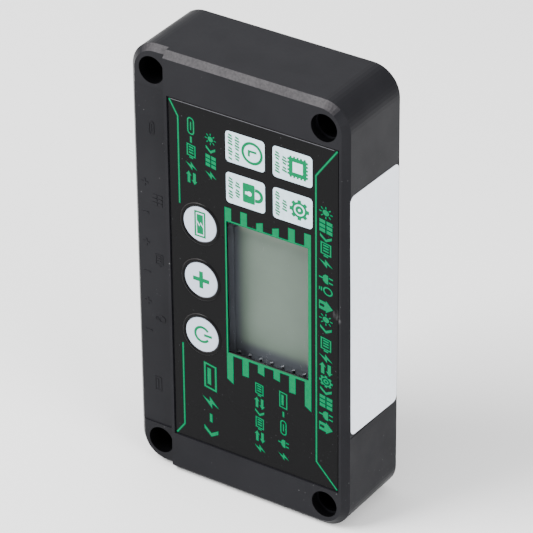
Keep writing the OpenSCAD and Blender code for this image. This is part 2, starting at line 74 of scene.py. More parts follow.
# One knock, in millimetres, which marks the shell and the edge of the sheet
SCUFF_ON_SHELL = (32.3, -13.2, 69.5)
SCUFF_ON_SHEET = (31.4, -12.95, 70.0)


# ---------------------------------------------------------------- materials

def linear(r, g, b):
    """A display colour of 0 to 255 as the linear colour that a shader takes."""
    def one(c):
        c /= 255
        return c / 12.92 if c <= 0.04045 else ((c + 0.055) / 1.055) ** 2.4
    return (one(r), one(g), one(b), 1.0)


def new_material(name, colour, roughness, metallic=0.0, specular=0.5):
    """A Principled material, returned with its node tree and shader."""
    mat = bpy.data.materials.new(name)
    mat.use_nodes = True
    tree = mat.node_tree
    shader = tree.nodes["Principled BSDF"]
    shader.inputs["Base Color"].default_value = colour
    shader.inputs["Roughness"].default_value = roughness
    shader.inputs["Metallic"].default_value = metallic
    shader.inputs["Specular IOR Level"].default_value = specular
    return mat, tree, shader


def object_coordinates(tree, stretch=(1, 1, 1)):
    """Object coordinates, stretched along an axis for brushed or drawn surfaces."""
    coords = tree.nodes.new("ShaderNodeTexCoord")
    mapping = tree.nodes.new("ShaderNodeMapping")
    mapping.inputs["Scale"].default_value = stretch
    tree.links.new(coords.outputs["Object"], mapping.inputs["Vector"])
    return mapping.outputs["Vector"]


def noise(tree, vector, scale, detail=3.0, rough=0.55):
    """Cloudy noise from 0 to 1, finer with a larger scale."""
    node = tree.nodes.new("ShaderNodeTexNoise")
    node.inputs["Scale"].default_value = scale
    node.inputs["Detail"].default_value = detail
    node.inputs["Roughness"].default_value = rough
    tree.links.new(vector, node.inputs["Vector"])
    return node.outputs["Fac"]


def spread(tree, value, low, high, out_low, out_high, smooth=False):
    """Maps a value from one range to another, held at the ends."""
    node = tree.nodes.new("ShaderNodeMapRange")
    node.interpolation_type = "SMOOTHSTEP" if smooth else "LINEAR"
    node.inputs["From Min"].default_value = low
    node.inputs["From Max"].default_value = high
    node.inputs["To Min"].default_value = out_low
    node.inputs["To Max"].default_value = out_high
    tree.links.new(value, node.inputs["Value"])
    return node.outputs["Result"]


def mix_colour(tree, share, colour_a, colour_b):
    """Mixes two colours, each a constant or a socket."""
    node = tree.nodes.new("ShaderNodeMix")
    node.data_type = "RGBA"
    tree.links.new(share, node.inputs["Factor"])
    for value, socket in ((colour_a, node.inputs[6]), (colour_b, node.inputs[7])):
        if isinstance(value, tuple):
            socket.default_value = value
        else:
            tree.links.new(value, socket)
    return node.outputs[2]


def combine(tree, operation, first, second):
    """Arithmetic on two values, each a number or a socket."""
    node = tree.nodes.new("ShaderNodeMath")
    node.operation = operation
    for value, socket in zip((first, second), node.inputs):
        if isinstance(value, (int, float)):
            socket.default_value = value
        else:
            tree.links.new(value, socket)
    return node.outputs[0]


def facing(tree, direction, low, high):
    """How far the surface faces one way, from 0 at low to 1 at high."""
    geometry = tree.nodes.new("ShaderNodeNewGeometry")
    product = tree.nodes.new("ShaderNodeVectorMath")
    product.operation = "DOT_PRODUCT"
    tree.links.new(geometry.outputs["Normal"], product.inputs[0])
    product.inputs[1].default_value = Vector(direction).normalized()
    return spread(tree, product.outputs["Value"], low, high, 0, 1)


def near(tree, place, reach):
    """A soft spot round a place in millimetres, stretched along Z and broken up by noise."""
    flatten = 0.6
    where = object_coordinates(tree, (1, 1, flatten))
    away = tree.nodes.new("ShaderNodeVectorMath")
    away.operation = "DISTANCE"
    tree.links.new(where, away.inputs[0])
    away.inputs[1].default_value = (place[0] * MM, place[1] * MM, place[2] * MM * flatten)
    spot = spread(tree, away.outputs["Value"], 0.2 * MM, reach * MM, 1, 0)
    broken = spread(tree, noise(tree, object_coordinates(tree, (1, 1, 0.4)), 1100, 3.0),
                    0.42, 0.66, 0, 1)
    return combine(tree, "MULTIPLY", spot, broken)


def hole_shade_mask(tree):
    """1 within reach of the axes of the four corner holes, which run along Y, except on what
    faces forward. That is the walls of the holes, and a ring round each on the rear face: the
    places where the case gets painted shade."""
    hole_x, hole_z = HIGH.x - HOLE_INSET_X, HIGH.z - MID_Z - HOLE_INSET_Z
    coords = tree.nodes.new("ShaderNodeTexCoord")
    split = tree.nodes.new("ShaderNodeSeparateXYZ")
    tree.links.new(coords.outputs["Object"], split.inputs["Vector"])
    from_middle = combine(tree, "SUBTRACT", split.outputs["Z"], MID_Z)
    across = combine(tree, "SUBTRACT", combine(tree, "ABSOLUTE", split.outputs["X"], 0), hole_x)
    up = combine(tree, "SUBTRACT", combine(tree, "ABSOLUTE", from_middle, 0), hole_z)
    distance = combine(tree, "SQRT", combine(tree, "ADD", combine(tree, "MULTIPLY", across, across),
                                             combine(tree, "MULTIPLY", up, up)), 0)
    close = spread(tree, distance, HOLE_REACH, HOLE_REACH + 0.1 * MM, 1, 0)
    not_forward = combine(tree, "SUBTRACT", 1, facing(tree, (0, -1, 0), 0.2, 0.6))
    return combine(tree, "MULTIPLY", close, not_forward)


def add_bump(tree, shader, height, distance, strength=1.0):
    """Raises and lowers the surface a little with the height value."""
    node = tree.nodes.new("ShaderNodeBump")
    node.inputs["Distance"].default_value = distance
    node.inputs["Strength"].default_value = strength
    tree.links.new(height, node.inputs["Height"])
    tree.links.new(node.outputs["Normal"], shader.inputs["Normal"])


def moulded_plastic(name, dark, light, rough_low, rough_high, grain=900, bump=0.02 * MM,
                    specular=0.4, dust=0.0, dust_colour=(150, 150, 152), painted_chamfer_highlight=None):
    """Moulded plastic: fine grain, slow changes of tone and, if wanted, dust. With a chamfer
    highlight colour it is the outer case: a grainy painted highlight where it faces up and forward,
    painted light on faces that point up, painted shade in the holes, and scuffed."""
    mat, tree, shader = new_material(name, linear(*dark), rough_high, specular=specular)
    where = object_coordinates(tree)
    cloud = noise(tree, where, 45, 4.0)
    colour = mix_colour(tree, spread(tree, cloud, 0.35, 0.65, 0, 1), linear(*dark), linear(*light))
    if dust:
        specks = noise(tree, where, 1500, 1.0)
        patches = noise(tree, where, 60, 2.0)
        speck_share = spread(tree, specks, 0.74, 0.79, 0, 1)
        patch_share = spread(tree, patches, 0.50, 0.66, 0, dust)
        colour = mix_colour(tree, combine(tree, "MULTIPLY", speck_share, patch_share), colour,
                            linear(*dust_colour))
    if painted_chamfer_highlight:
        # Painted highlight: chamfers that face up and forward are mixed towards the paler colour,
        # broken up by grain.
        chamfer_highlight_share = facing(tree, (0, -1, 1), 0.88, 0.97)
        grain_share = spread(tree, noise(tree, where, 1700, 2.0), 0.30, 0.70, 0.45, 1)
        colour = mix_colour(tree, combine(tree, "MULTIPLY", chamfer_highlight_share, grain_share), colour,
                            linear(*painted_chamfer_highlight))
        # Painted light: faces that point straight up are mixed to a slightly paler grey.
        colour = mix_colour(tree, facing(tree, (0, 0, 1), 0.9, 0.99), colour, linear(26, 26, 29))
        # Painted shade: the walls of the corner holes and a ring round each on the rear face are
        # mixed to near black.
        colour = mix_colour(tree, hole_shade_mask(tree), colour, linear(5, 5, 6))
        scuff = near(tree, SCUFF_ON_SHELL, 1.3)
        colour = mix_colour(tree, combine(tree, "MULTIPLY", scuff, 0.25), colour,
                            linear(*dust_colour))
    tree.links.new(colour, shader.inputs["Base Color"])
    wear = noise(tree, where, 120, 5.0)
    tree.links.new(spread(tree, wear, 0.3, 0.7, rough_low, rough_high), shader.inputs["Roughness"])
    add_bump(tree, shader, noise(tree, where, grain * 4, 2.0), bump, 0.6)
    return mat


def metal(name, colour, roughness, stretch=(1, 1, 1)):
    """Bright metal with drawn or rolled streaks."""
    mat, tree, shader = new_material(name, linear(*colour), roughness, metallic=1.0)
    where = object_coordinates(tree, stretch)
    streak = noise(tree, where, 900, 4.0)
    tree.links.new(spread(tree, streak, 0.3, 0.7, roughness * 0.75, roughness * 1.3),
                   shader.inputs["Roughness"])
    darker = tuple(c * 0.82 for c in colour)
    tree.links.new(mix_colour(tree, spread(tree, streak, 0.35, 0.65, 0, 1), linear(*darker),
                              linear(*colour)), shader.inputs["Base Color"])
    add_bump(tree, shader, streak, 0.01 * MM, 0.5)
    return mat


def ink_and_painted_highlight(name, colour):
    """Screen-printed matt ink, also used for a painted highlight: slightly uneven cover and a
    faint orange-peel surface.
    """
    mat, tree, shader = new_material(name, linear(*colour), 0.5, specular=0.0)
    where = object_coordinates(tree)
    cover = noise(tree, where, 900, 3.0)
    darker = tuple(c * 0.96 for c in colour)
    tree.links.new(mix_colour(tree, spread(tree, cover, 0.35, 0.6, 0, 1), linear(*darker),
                              linear(*colour)), shader.inputs["Base Color"])
    add_bump(tree, shader, cover, 0.006 * MM, 0.5)
    return mat


def circuit_board(name, mask, copper):
    """Solder mask with lighter copper runs showing through it."""
    mat, tree, shader = new_material(name, linear(*mask), 0.35, specular=0.45)
    where = object_coordinates(tree)
    cells = tree.nodes.new("ShaderNodeTexBrick")
    cells.inputs["Scale"].default_value = 260
    cells.inputs["Mortar Size"].default_value = 0.09
    cells.inputs["Color1"].default_value = (0, 0, 0, 1)
    cells.inputs["Color2"].default_value = (0.25, 0.25, 0.25, 1)
    cells.inputs["Mortar"].default_value = (1, 1, 1, 1)
    turned = tree.nodes.new("ShaderNodeMapping")
    turned.inputs["Rotation"].default_value = (math.pi / 2, 0, 0)
    tree.links.new(where, turned.inputs["Vector"])
    tree.links.new(turned.outputs["Vector"], cells.inputs["Vector"])
    tree.links.new(mix_colour(tree, cells.outputs["Color"], linear(*mask), linear(*copper)),
                   shader.inputs["Base Color"])
    add_bump(tree, shader, cells.outputs["Color"], 0.02 * MM, 0.4)
    return mat


def gloss_sheet():
    """Glossy black printed film: deep black, faint waviness, a few light specks of dust, a painted
    highlight on edges that face up and to the left, and one scuff."""
    deep_black = linear(11, 11, 12)
    mat, tree, shader = new_material("gloss_sheet", deep_black, 0.22, specular=0.05)
    where = object_coordinates(tree)
    specks = noise(tree, where, 1300, 1.0)
    share = spread(tree, specks, 0.755, 0.80, 0, 0.35)
    black = mix_colour(tree, share, deep_black, linear(90, 90, 94))
    # Painted highlight: edges and slopes that face up and to the left are mixed to a grey.
    edge = facing(tree, (-0.45, 0, 0.9), 0.45, 0.85)
    lit = mix_colour(tree, edge, black, linear(58, 56, 56))
    scuff = combine(tree, "MULTIPLY", near(tree, SCUFF_ON_SHEET, 1.2), 0.3)
    tree.links.new(mix_colour(tree, scuff, lit, linear(120, 120, 122)),
                   shader.inputs["Base Color"])
    wave = noise(tree, where, 90, 2.0)
    tree.links.new(spread(tree, wave, 0.3, 0.7, 0.24, 0.34), shader.inputs["Roughness"])
    add_bump(tree, shader, wave, 0.03 * MM, 0.25)
    return mat


def label_paper():
    """Blank self-adhesive label: pale, satin, with a faint fibre and slightly soiled patches."""
    mat, tree, shader = new_material("label_paper", linear(235, 239, 248), 0.5, specular=0.3)
    where = object_coordinates(tree)
    fibre = noise(tree, where, 700, 5.0)
    soil = noise(tree, where, 26, 3.0)
    base = mix_colour(tree, spread(tree, soil, 0.35, 0.7, 0, 1), linear(226, 231, 240),
                      linear(219, 224, 233))
    tree.links.new(mix_colour(tree, spread(tree, fibre, 0.45, 0.62, 0, 0.35), base,
                              linear(212, 217, 226)), shader.inputs["Base Color"])
    tree.links.new(spread(tree, fibre, 0.3, 0.7, 0.42, 0.6), shader.inputs["Roughness"])
    add_bump(tree, shader, fibre, 0.012 * MM, 0.5)
    return mat


def polariser_film(low, high):
    """Grey-green display film with painted shade that darkens it smoothly towards its left and
    lower edges, and painted light that makes it paler near the top, to make up for the shade of the
    window's edge."""
    mat, tree, shader = new_material("polariser", linear(86, 99, 89), 0.35, specular=0.08)
    coords = tree.nodes.new("ShaderNodeTexCoord")
    split = tree.nodes.new("ShaderNodeSeparateXYZ")
    tree.links.new(coords.outputs["Object"], split.inputs["Vector"])
    # Painted shade: a soft dark band along the left and lower edges of the film.
    from_left = spread(tree, split.outputs["X"], low.x + 0.2 * MM, low.x + 3.2 * MM, 0, 1, True)
    from_below = spread(tree, split.outputs["Z"], low.z + 1.2 * MM, low.z + 4.6 * MM, 0, 1, True)
    lit_share = combine(tree, "MULTIPLY", from_left, from_below)
    cloud = noise(tree, object_coordinates(tree), 60, 3.0)
    lit = mix_colour(tree, spread(tree, cloud, 0.3, 0.7, 0, 1), linear(83, 94, 86),
                     linear(87, 98, 90))
    # Painted light: the top of the film is mixed towards a paler grey-green.
    near_top = spread(tree, split.outputs["Z"], high.z - 8.0 * MM, high.z - 0.5 * MM, 0, 1, True)
    lit = mix_colour(tree, near_top, lit, linear(132, 140, 130))
    tree.links.new(mix_colour(tree, lit_share, linear(68, 71, 76), lit),
                   shader.inputs["Base Color"])
    haze = noise(tree, object_coordinates(tree, (1, 1, 0.2)), 400, 2.0)
    tree.links.new(spread(tree, haze, 0.3, 0.7, 0.3, 0.42), shader.inputs["Roughness"])
    return mat


def clear_plastic():
    """Clear window: only a few upright hairline scratches show."""
    mat, tree, shader = new_material("clear_window", (0.30, 0.31, 0.32, 1), 0.6, specular=0.0)
    where = object_coordinates(tree, (1, 1, 0.05))
    scratch = noise(tree, where, 1800, 2.0)
    tree.links.new(spread(tree, scratch, 0.72, 0.80, 0, 0.2), shader.inputs["Alpha"])
    mat.blend_method = "BLEND"
    return mat


MATERIALS = {
    # The case's (60, 58, 60) is the colour of its painted chamfer highlight.
    "charcoal_plastic": moulded_plastic("charcoal_plastic", (18, 18, 21), (23, 23, 26), 0.34, 0.46,
                                        specular=0.07, dust=0.4, painted_chamfer_highlight=(60, 58, 60)),
    "gloss_sheet": gloss_sheet(),
    "clear_lens": clear_plastic(),
    "white_cap": moulded_plastic("white_cap", (172, 182, 196), (177, 187, 201), 0.30, 0.42,
                                 bump=0.006 * MM, specular=0.2),
    "label_paper": label_paper(),
    "lcd": moulded_plastic("lcd", (62, 65, 70), (68, 71, 76), 0.25, 0.35, bump=0.001 * MM,
                           specular=0.12),
    "light_guide": moulded_plastic("light_guide", (206, 208, 206), (220, 221, 219), 0.3, 0.45),
    "green_board": circuit_board("green_board", (14, 62, 38), (38, 104, 62)),
    "black_plastic": moulded_plastic("black_plastic", (26, 26, 28), (34, 34, 36), 0.40, 0.55),
    "chip_plastic": moulded_plastic("chip_plastic", (30, 30, 32), (38, 38, 40), 0.50, 0.65),
    "terminal_plastic": moulded_plastic("terminal_plastic", (28, 96, 62), (34, 110, 72), 0.38,
                                        0.50),
    "tongue_plastic": moulded_plastic("tongue_plastic", (206, 98, 32), (222, 112, 40), 0.35, 0.45),
    "zinc_steel": metal("zinc_steel", (178, 180, 184), 0.30),
    "tinned_brass": metal("tinned_brass", (196, 172, 112), 0.32),
    "gold_contact": metal("gold_contact", (226, 188, 96), 0.25),
    "ferrite": moulded_plastic("ferrite", (58, 58, 60), (70, 70, 72), 0.55, 0.7),
    "capacitor_sleeve": moulded_plastic("capacitor_sleeve", (28, 34, 70), (34, 42, 84), 0.25, 0.38),
    "pad_silicone": moulded_plastic("pad_silicone", (130, 144, 176), (144, 158, 188), 0.6, 0.75),
    "spreader_aluminium": metal("spreader_aluminium", (184, 186, 188), 0.36, (1, 1, 0.03)),
    "shunt_alloy": metal("shunt_alloy", (150, 132, 116), 0.38, (0.05, 1, 1)),
}

INK_GREEN = ink_and_painted_highlight("ink_green", (0, 105, 66))
INK_TILE = ink_and_painted_highlight("ink_tile", (188, 208, 218))
# Dark grey sheet round the display glass, in the same grey as the film's painted shade.
DISPLAY_SURROUND = moulded_plastic("display_surround", (68, 71, 77), (74, 77, 83), 0.55, 0.7, specular=0.1)
# Grey of the painted highlight along the upper edge of the panel sheet.
PAINTED_EDGE_HIGHLIGHT = ink_and_painted_highlight("painted_edge_highlight", (92, 92, 96))
CLIP_TIN = moulded_plastic("clip_tin", (132, 136, 142), (146, 150, 156), 0.3, 0.5, specular=0.1)
RECORD_SLOTS = {part["node"]: part["material_slot"] for part in frame["record"]["subparts"]}


def dress_cad_nodes():
    """Gives each CAD node the material of its slot and smooth shading."""
    for name, node in frame["nodes"].items():
        node.data.materials.clear()
        node.data.materials.append(MATERIALS[RECORD_SLOTS[name]])
        for polygon in node.data.polygons:
            polygon.use_smooth = True


def soften(piece, width):
    """Rounds the sharp edges of a piece and keeps its flat faces flat to the light."""
    bevel = piece.modifiers.new("soft_edges", "BEVEL")
    bevel.width = width
    bevel.segments = 2
    bevel.limit_method = "ANGLE"
    bevel.angle_limit = math.radians(28)
    bevel.harden_normals = False
    bevel.use_clamp_overlap = True
    weighted = piece.modifiers.new("flat_faces", "WEIGHTED_NORMAL")
    weighted.keep_sharp = True
    weighted.weight = 80


dress_cad_nodes()


# ---------------------------------------------------------------- flat shapes

def circle(u, v, r, count=32):
    """Points of a circle."""
    return [(u + r * math.cos(math.tau * i / count), v + r * math.sin(math.tau * i / count))
            for i in range(count)]


def rectangle(u0, v0, u1, v1):
    """Points of a rectangle between two opposite corners."""
    return [(u0, v0), (u1, v0), (u1, v1), (u0, v1)]


def cross(u, v, arm, half):
    """Plus sign about a point: how far its arms reach and half their width."""
    corners = ((-half, arm), (half, arm), (half, half), (arm, half), (arm, -half), (half, -half),
               (half, -arm), (-half, -arm), (-half, -half), (-arm, -half), (-arm, half),
               (-half, half))
    return [(u + across, v + up) for across, up in corners]


def rounded(u0, v0, u1, v1, r, count=6):
    """Rectangle with round corners."""
    points = []
    corners = ((u1 - r, v1 - r, 0), (u0 + r, v1 - r, 1), (u0 + r, v0 + r, 2), (u1 - r, v0 + r, 3))
    for cu, cv, quarter in corners:
        for i in range(count + 1):
            a = math.pi / 2 * (quarter + i / count)
            points.append((cu + r * math.cos(a), cv + r * math.sin(a)))
    return points


def stroke(points, width):
    """Outline of an open line of even width through some points, with mitred corners."""
    half = width / 2
    left, right = [], []
    for i, (u, v) in enumerate(points):
        before = points[i - 1] if i else None
        after = points[i + 1] if i < len(points) - 1 else None
        normals = []
        for a, b in ((before, (u, v)), ((u, v), after)):
            if a and b:
                length = math.hypot(b[0] - a[0], b[1] - a[1])
                normals.append(((a[1] - b[1]) / length, (b[0] - a[0]) / length))
        nu = sum(n[0] for n in normals)
        nv = sum(n[1] for n in normals)
        scale = half * 2 / (nu * nu + nv * nv) if len(normals) == 2 else half
        left.append((u + nu * scale, v + nv * scale))
        right.append((u - nu * scale, v - nv * scale))
    return [left + right[::-1]]


def turned(points, angle, centre=(0, 0)):
    """Points turned about a centre."""
    c, s = math.cos(angle), math.sin(angle)
    cu, cv = centre
    return [(cu + (u - cu) * c - (v - cv) * s, cv + (u - cu) * s + (v - cv) * c)
            for u, v in points]


# Pictograms fill a box one unit high. Each returns its outlines and its width.

def sun():
    """Disc with eight rays."""
    rays = [turned(rectangle(0.80, 0.46, 0.98, 0.54), math.tau * k / 8, (0.5, 0.5))
            for k in range(8)]
    return [circle(0.5, 0.5, 0.23)] + rays, 1.0


def solar_panel():
    """Six cells, three across and two high."""
    cells = [rectangle(0.06 + 0.36 * i, 0.04 + 0.5 * j, 0.06 + 0.36 * i + 0.29, 0.46 + 0.5 * j)
             for i in range(3) for j in range(2)]
    return cells, 1.15


def battery():
    """Battery case with three bars and its pole."""
    bars = [rectangle(0.17 + 0.22 * i, 0.30, 0.30 + 0.22 * i, 0.70) for i in range(3)]
    shell = [rectangle(0.0, 0.12, 0.98, 0.88), rectangle(0.10, 0.22, 0.88, 0.78)]
    return shell + bars + [rectangle(1.02, 0.34, 1.14, 0.66)], 1.15


def bulb():
    """Lamp ring over a two-part screw base."""
    ring = [circle(0.4, 0.64, 0.35), circle(0.4, 0.64, 0.24)]
    return ring + [rectangle(0.24, 0.13, 0.56, 0.23), rectangle(0.28, 0.0, 0.52, 0.08)], 0.8


def plug():
    """Two-pin plug with a short lead."""
    body = [(0.12, 0.66), (0.12, 0.45), (0.30, 0.28), (0.42, 0.28), (0.42, 0.0), (0.54, 0.0),
            (0.54, 0.28), (0.66, 0.28), (0.84, 0.45), (0.84, 0.66)]
    return [body, rectangle(0.24, 0.70, 0.35, 1.0), rectangle(0.61, 0.70, 0.72, 1.0)], 0.95


def bolt():
    """Lightning bolt."""
    return [[(0.62, 1.0), (0.12, 0.44), (0.40, 0.44), (0.26, 0.0), (0.78, 0.58), (0.49, 0.58)]], 0.8


def chevron():
    """Arrow head that points onwards."""
    return [[(0.0, 0.08), (0.22, 0.08), (0.55, 0.5), (0.22, 0.92), (0.0, 0.92), (0.33, 0.5)]], 0.55


def space():
    """Gap between two groups of pictograms."""
    return [], 0.28


def dash():
    """Short level bar."""
    return [rectangle(0.0, 0.42, 0.5, 0.58)], 0.5


def house():
    """House with a door."""
    return [[(0.0, 0.5), (0.5, 1.0), (1.0, 0.5), (0.86, 0.5), (0.86, 0.0), (0.14, 0.0),
             (0.14, 0.5)], rectangle(0.40, 0.06, 0.60, 0.38)], 1.0


def large_port():
    """Mouth of the large charging port with its tongue."""
    return [rectangle(0.0, 0.12, 1.5, 0.88), rectangle(0.11, 0.23, 1.39, 0.77),
            rectangle(0.26, 0.32, 1.24, 0.54)], 1.5


def small_port():
    """Mouth of the small charging port with its tongue."""
    return [rounded(0.0, 0.2, 1.4, 0.8, 0.29), rounded(0.11, 0.31, 1.29, 0.69, 0.18),
            rectangle(0.36, 0.45, 1.04, 0.55)], 1.4


def swap():
    """Two arrows that pass each other."""
    arrow = [(0.0, 0.62), (0.62, 0.62), (0.62, 0.50), (0.95, 0.74), (0.62, 0.98), (0.62, 0.86),
             (0.0, 0.86)]
    back = [(0.95 - u, 1.0 - v) for u, v in arrow]
    return [arrow, back], 0.95


def gear(teeth=8, inner=0.39, outer=0.5):
    """Toothed wheel with a ring and a round bore."""
    points = []
    step = math.tau / teeth
    for k in range(teeth):
        for share, r in ((-0.30, inner), (-0.22, outer), (0.22, outer), (0.30, inner)):
            a = step * (k + share)
            points.append((0.5 + r * math.cos(a), 0.5 + r * math.sin(a)))
    return [points, circle(0.5, 0.5, 0.28), circle(0.5, 0.5, 0.20), circle(0.5, 0.5, 0.07)], 1.0


# ---------------------------------------------------------------- pieces

def finish_piece(obj, material, body):
    """Gives a new piece its material and the body it rides on."""
    obj.data.materials.clear()
    obj.data.materials.append(material)
    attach(obj, body)
    return obj


def flat_piece(name, outlines, front, thickness, material, body="housing",
               round_edge=0.0, face="front"):
    """Solid of even thickness from outlines in millimetres. An outline inside another is a hole.
    On the front face they are (x, height above the middle), and front is where the outer side is.
    """
    curve = bpy.data.curves.new(name, "CURVE")
    curve.dimensions = "2D"
    curve.fill_mode = "BOTH"
    curve.extrude = thickness / 2 - round_edge
    curve.bevel_depth = round_edge
    curve.bevel_resolution = 2
    curve.offset = -round_edge
    for outline in outlines:
        spline = curve.splines.new("POLY")
        spline.points.add(len(outline) - 1)
        for point, (u, v) in zip(spline.points, outline):
            point.co = (u * MM, v * MM, 0, 1)
        spline.use_cyclic_u = True
    holder = bpy.data.objects.new(name + "_outline", curve)
    bpy.context.scene.collection.objects.link(holder)
    bpy.context.view_layer.update()
    mesh = bpy.data.meshes.new_from_object(
        holder.evaluated_get(bpy.context.evaluated_depsgraph_get()))
    bpy.data.objects.remove(holder)
    mesh.name = name
    if face == "front":
        place = Matrix(((1, 0, 0, 0), (0, 0, -1, front + thickness / 2), (0, 1, 0, MID_Z),
                        (0, 0, 0, 1)))
    else:
        place = Matrix(((0, 0, 1, front - thickness / 2), (1, 0, 0, 0), (0, 1, 0, MID_Z),
                        (0, 0, 0, 1)))
    mesh.transform(place)
    clean = bmesh.new()
    clean.from_mesh(mesh)
    bmesh.ops.remove_doubles(clean, verts=clean.verts, dist=1e-7)
    bmesh.ops.recalc_face_normals(clean, faces=clean.faces)
    clean.to_mesh(mesh)
    clean.free()
    obj = bpy.data.objects.new(name, mesh)
    bpy.context.scene.collection.objects.link(obj)
    return finish_piece(obj, material, body)


def on_sheet(name, outlines, material, body="housing", lift=0.0):
    """Print, or a painted highlight, on the panel sheet, or above it by lift."""
    return flat_piece(name, outlines, SHEET_Y - PRINT_T - lift, PRINT_T, material, body)


def row_of_pictograms(name, kinds, low_x, high_x, top, bottom, slant=0.18, grow=1.0):
    """Pictograms in a line down the panel, upright towards +X, spread evenly from top to bottom."""
    height = high_x - low_x
    made = [kind() for kind in kinds]
    total = sum(width for _, width in made) * height * grow
    gap = ((top - bottom) - total) / max(1, len(made) - 1)
    outlines = []
    along = top
    for shapes, width in made:
        for shape in shapes:
            outlines.append([(low_x + v * height,
                              along - u * height * grow + (0.5 - v) * height * slant)
                             for u, v in shape])
        along -= width * height * grow + gap
    on_sheet(name, outlines, INK_GREEN)


def panel_lines():
    """Framing lines that run in from the corners of the sheet, and a painted highlight along its
    upper edge.
    """
    width = 0.5
    left, right = -18.6, 25.1
    top, bottom = 53.3, -53.3
    lines = (
        [(-21.3, top), (left, 48.7), (left, 21.9)],
        [(left, -22.7), (left, -49.6), (-21.3, bottom)],
        [(31.8, top), (right, 44.1), (right, -46.2), (31.8, bottom)],
    )
    outlines = []
    for line in lines:
        outlines += stroke(line, width)
    on_sheet("print_panel_lines", outlines, INK_GREEN)
    # Painted highlight: a thin grey line along the upper edge of the sheet.
    low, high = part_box("graphic_overlay")
    edge_z = (high.z - MID_Z) / MM - 0.12
    edge = [(low.x / MM + 0.7, edge_z), (high.x / MM - 1.2, edge_z)]
    on_sheet("sheet_top_edge_highlight", stroke(edge, 0.15), PAINTED_EDGE_HIGHLIGHT)


def window_print():
    """Green frame round the window with a comb of bars above and below it."""
    frame_low, frame_high = (-4.0, -21.5), (23.5, 21.5)
    open_low, open_high = (-3.5, -20.75), (22.6, 21.0)
    bars = 6
    bar_w = 2.1
    upper = ((25.4, 0.0), (25.4, 0.0), (23.8, 0.35))
    lower = ((-30.0, -0.65), (-26.7, 0.0), (-24.3, -0.25))
    pitch = (frame_high[0] - frame_low[0] - bar_w) / (bars - 1)
    outer = [frame_low]
    for i in range(bars):
        tip, slant = lower[min(i, bars - 1 - i)]
        x = frame_low[0] + i * pitch
        outer += [(x, frame_low[1]), (x, tip - slant), (x + bar_w, tip + slant),
                  (x + bar_w, frame_low[1])]
    outer.append((frame_high[0], frame_low[1]))
    for i in reversed(range(bars)):
        tip, slant = upper[min(i, bars - 1 - i)]
        x = frame_low[0] + i * pitch
        outer += [(x + bar_w, frame_high[1]), (x + bar_w, tip + slant), (x, tip - slant),
                  (x, frame_high[1])]
    cleaned = [p for k, p in enumerate(outer) if p != outer[k - 1]]
    hole = rectangle(*open_low, *open_high)
    on_sheet("print_window_frame", [cleaned, hole], INK_GREEN)


def tiles():
    """Four pale tiles, each with a pictogram and two rows of short bars in place of a caption."""
    size = (12.4, 9.4)
    centres = {"clock": (2.85, 44.45), "chip": (17.8, 44.45), "lock": (2.85, 31.87),
               "gear": (17.8, 31.87)}
    corner = 1.1
    on_sheet("print_tiles", [rounded(x - size[0] / 2, z - size[1] / 2, x + size[0] / 2,
                                     z + size[1] / 2, corner)
                             for x, z in centres.values()], INK_TILE)
    x, z = centres["clock"]
    centre = (x + 2.25, z)
    hands = [(centre[0] + 1.4, centre[1] + 0.5), (centre[0] - 1.0, centre[1] + 0.5),
             (centre[0] - 1.0, centre[1] - 1.1)]
    tile_print("print_clock", [circle(*centre, 3.4, 48), circle(*centre, 2.6, 48)]
               + stroke(hands, 0.65))
    x, z = centres["chip"]
    chip_outline("print_chip", (x + 1.65, z), 2.75, 1.6)
    x, z = centres["lock"]
    padlock("print_padlock", (x, z))
    x, z = centres["gear"]
    shapes, _ = gear()
    scale = 6.2
    tile_print("print_gear", [[(x + 2.1 + (u - 0.5) * scale, z + (v - 0.5) * scale)
                               for u, v in shape] for shape in shapes])
    caption_rows = {
        "clock": ((-4.7, (4, 3, 1)), (-2.5, (5, 3))),
        "chip": ((-4.75, (3, 4)), (-2.5, (3, 2))),
        "lock": ((-4.7, (4, 3)), (-2.5, (2, 3))),
        "gear": ((-4.75, (3, 5)), (-2.5, (4,))),
    }
    half, dash_length, dash_gap, word_gap, lean = 0.75, 0.52, 0.34, 0.5, 0.2
    outlines = []
    for name, rows in caption_rows.items():
        x, z = centres[name]
        for offset, words in rows:
            length = sum(words) * (dash_length + dash_gap) + (len(words) - 1) * word_gap - dash_gap
            along = z + length / 2
            for count in words:
                for k in range(count):
                    tall = half if k % 2 else half * 0.72
                    low, high = x + offset - tall, x + offset + tall
                    outlines.append([(low, along + lean), (high, along - lean),
                                     (high, along - dash_length - lean),
                                     (low, along - dash_length + lean)])
                    along -= dash_length + dash_gap
                along -= word_gap
    tile_print("print_captions", outlines)


def tile_print(name, outlines):
    """Green print on top of the pale tiles."""
    on_sheet(name, outlines, INK_GREEN, lift=PRINT_T)


def chip_outline(name, centre, outer, inner):
    """Square chip with short legs on all four sides."""
    cx, cz = centre
    legs = 5
    reach, half = 0.45, 0.3
    edge = []
    for k in range(legs):
        along = -outer + (k + 0.5) * 2 * outer / legs
        edge += [(along - half, outer), (along - half, outer + reach),
                 (along + half, outer + reach), (along + half, outer)]
    ring = [(-outer, outer)] + edge + [(outer, outer)]
    outline = []
    for quarter in range(4):
        outline += turned(ring, -quarter * math.pi / 2)[:-1]
    shape = [(cx + u, cz + v) for u, v in outline]
    tile_print(name, [shape, rectangle(cx - inner, cz - inner, cx + inner, cz + inner)])


